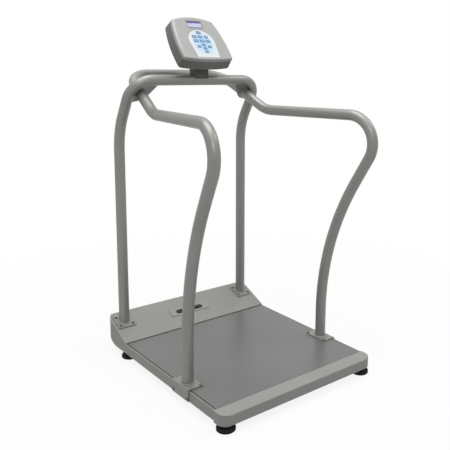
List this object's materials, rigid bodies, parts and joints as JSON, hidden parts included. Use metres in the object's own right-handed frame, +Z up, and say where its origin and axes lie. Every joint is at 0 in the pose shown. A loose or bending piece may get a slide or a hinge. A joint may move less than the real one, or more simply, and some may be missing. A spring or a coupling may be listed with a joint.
{
  "type": "floor scale with handrail",
  "caption": "Stand-on clinic scale: low platform on levelling feet, bent tube handrails, a rear hoop and a swivelling display head with a keypad.",
  "frame": {"origin": "on the floor, in the middle of the overall width and length", "axes": "+X to the right of a person who steps on, +Y to the back, where the hoop stands, +Z up"},
  "size_m": [0.6838, 0.7906, 1.2467],
  "materials": {
    "frame_steel": "satin",
    "plate_steel": "satin",
    "mat_rubber": "fine grain, matt",
    "skirt_paint": "satin",
    "cap_plastic": "fine texture",
    "slot_plastic": "smooth",
    "flange_paint": "satin",
    "tube_paint": "satin",
    "screw_steel": "plain zinc",
    "cell_alloy": "machined",
    "black_steel": "black oxide",
    "box_plastic": "smooth",
    "circuit_board": "solder resist",
    "cable_sheath": "smooth",
    "wheel_rubber": "matt",
    "mount_paint": "satin",
    "silver_plastic": "silver lacquer",
    "shell_plastic": "fine texture",
    "lens": "clear",
    "lcd_glass": "dark",
    "overlay_film": "satin film",
    "switch_film": "film",
    "pack_plastic": "smooth",
    "foot_rubber": "matt",
    "key_green": "satin",
    "key_violet": "satin",
    "key_blue": "satin"
  },
  "bodies": {
    "base": {"base_frame": "frame_steel", "deck_plate": "plate_steel", "deck_mat": "mat_rubber", "side_skirt_left": "skirt_paint", "side_skirt_right": "skirt_paint", "front_cap": "cap_plastic", "rear_cover": "skirt_paint", "slot_plate": "slot_plastic", "post_supports": "frame_steel", "front_flanges": "flange_paint", "rear_flanges": "flange_paint", "side_rail_left": "tube_paint", "side_rail_right": "tube_paint", "rear_hoop": "tube_paint", "corner_gussets": "tube_paint", "flange_screws": "screw_steel", "load_cells": "cell_alloy", "cell_screws": "black_steel", "foot_nuts": "screw_steel", "junction_box": "box_plastic", "junction_board": "circuit_board", "signal_cables": "cable_sheath", "wheel_axles": "screw_steel", "wheel_brackets": "frame_steel", "display_saddle": "mount_paint", "swivel_pin": "screw_steel"},
    "foot_front_left": {"foot_pad_front_left": "foot_rubber", "foot_stud_front_left": "screw_steel"},
    "foot_front_right": {"foot_pad_front_right": "foot_rubber", "foot_stud_front_right": "screw_steel"},
    "foot_rear_left": {"foot_pad_rear_left": "foot_rubber", "foot_stud_rear_left": "screw_steel"},
    "foot_rear_right": {"foot_pad_rear_right": "foot_rubber", "foot_stud_rear_right": "screw_steel"},
    "wheel_left": {"transport_wheel_left": "wheel_rubber"},
    "wheel_right": {"transport_wheel_right": "wheel_rubber"},
    "head": {"display_neck": "mount_paint", "neck_screws": "screw_steel", "head_bezel": "silver_plastic", "head_shell": "shell_plastic", "lcd_lens": "lens", "lcd_module": "lcd_glass", "key_overlay": "overlay_film", "switch_sheet": "switch_film", "main_board": "circuit_board", "battery_door": "shell_plastic", "battery_pack": "pack_plastic", "head_screws": "screw_steel"},
    "key_1": {"key_1": "key_blue"},
    "key_2": {"key_2": "key_blue"},
    "key_3": {"key_3": "key_green"},
    "key_4": {"key_4": "key_violet"},
    "key_5": {"key_5": "key_blue"},
    "key_6": {"key_6": "key_blue"},
    "key_7": {"key_7": "key_blue"},
    "key_8": {"key_8": "key_blue"},
    "key_9": {"key_9": "key_blue"},
    "key_10": {"key_10": "key_blue"},
    "key_11": {"key_11": "key_blue"},
    "key_12": {"key_12": "key_blue"}
  },
  "joints": [
    {"name": "foot_turn_front_left", "type": "hinge", "parent": "base", "child": "foot_front_left", "pos_m": [-0.29, -0.366, 0], "axis": [0, 0, 1], "range_deg": [-720, 720]},
    {"name": "foot_turn_front_right", "type": "hinge", "parent": "base", "child": "foot_front_right", "pos_m": [0.29, -0.366, 0], "axis": [0, 0, 1], "range_deg": [-720, 720]},
    {"name": "foot_turn_rear_left", "type": "hinge", "parent": "base", "child": "foot_rear_left", "pos_m": [-0.29, 0.254, 0], "axis": [0, 0, 1], "range_deg": [-720, 720]},
    {"name": "foot_turn_rear_right", "type": "hinge", "parent": "base", "child": "foot_rear_right", "pos_m": [0.29, 0.254, 0], "axis": [0, 0, 1], "range_deg": [-720, 720]},
    {"name": "wheel_roll_left", "type": "hinge", "parent": "base", "child": "wheel_left", "pos_m": [-0.205, 0.326, 0.038], "axis": [1, 0, 0], "continuous": true},
    {"name": "wheel_roll_right", "type": "hinge", "parent": "base", "child": "wheel_right", "pos_m": [0.205, 0.326, 0.038], "axis": [1, 0, 0], "continuous": true},
    {"name": "head_swivel", "type": "hinge", "parent": "base", "child": "head", "pos_m": [0, 0.2205, 1.0465], "axis": [0, 0, 1], "range_deg": [-90, 90]},
    {"name": "key_press_1", "type": "slide", "parent": "head", "child": "key_1", "axis": [0, 0.7604, -0.6494], "range_m": [0, 0.0005], "stiffness_N_per_m": 3000, "springref_m": -0.0002},
    {"name": "key_press_2", "type": "slide", "parent": "head", "child": "key_2", "axis": [0, 0.7604, -0.6494], "range_m": [0, 0.0005], "stiffness_N_per_m": 3000, "springref_m": -0.0002},
    {"name": "key_press_3", "type": "slide", "parent": "head", "child": "key_3", "axis": [0, 0.7604, -0.6494], "range_m": [0, 0.0005], "stiffness_N_per_m": 3000, "springref_m": -0.0002},
    {"name": "key_press_4", "type": "slide", "parent": "head", "child": "key_4", "axis": [0, 0.7604, -0.6494], "range_m": [0, 0.0005], "stiffness_N_per_m": 3000, "springref_m": -0.0002},
    {"name": "key_press_5", "type": "slide", "parent": "head", "child": "key_5", "axis": [0, 0.7604, -0.6494], "range_m": [0, 0.0005], "stiffness_N_per_m": 3000, "springref_m": -0.0002},
    {"name": "key_press_6", "type": "slide", "parent": "head", "child": "key_6", "axis": [0, 0.7604, -0.6494], "range_m": [0, 0.0005], "stiffness_N_per_m": 3000, "springref_m": -0.0002},
    {"name": "key_press_7", "type": "slide", "parent": "head", "child": "key_7", "axis": [0, 0.7604, -0.6494], "range_m": [0, 0.0005], "stiffness_N_per_m": 3000, "springref_m": -0.0002},
    {"name": "key_press_8", "type": "slide", "parent": "head", "child": "key_8", "axis": [0, 0.7604, -0.6494], "range_m": [0, 0.0005], "stiffness_N_per_m": 3000, "springref_m": -0.0002},
    {"name": "key_press_9", "type": "slide", "parent": "head", "child": "key_9", "axis": [0, 0.7604, -0.6494], "range_m": [0, 0.0005], "stiffness_N_per_m": 3000, "springref_m": -0.0002},
    {"name": "key_press_10", "type": "slide", "parent": "head", "child": "key_10", "axis": [0, 0.7604, -0.6494], "range_m": [0, 0.0005], "stiffness_N_per_m": 3000, "springref_m": -0.0002},
    {"name": "key_press_11", "type": "slide", "parent": "head", "child": "key_11", "axis": [0, 0.7604, -0.6494], "range_m": [0, 0.0005], "stiffness_N_per_m": 3000, "springref_m": -0.0002},
    {"name": "key_press_12", "type": "slide", "parent": "head", "child": "key_12", "axis": [0, 0.7604, -0.6494], "range_m": [0, 0.0005], "stiffness_N_per_m": 3000, "springref_m": -0.0002}
  ]
}
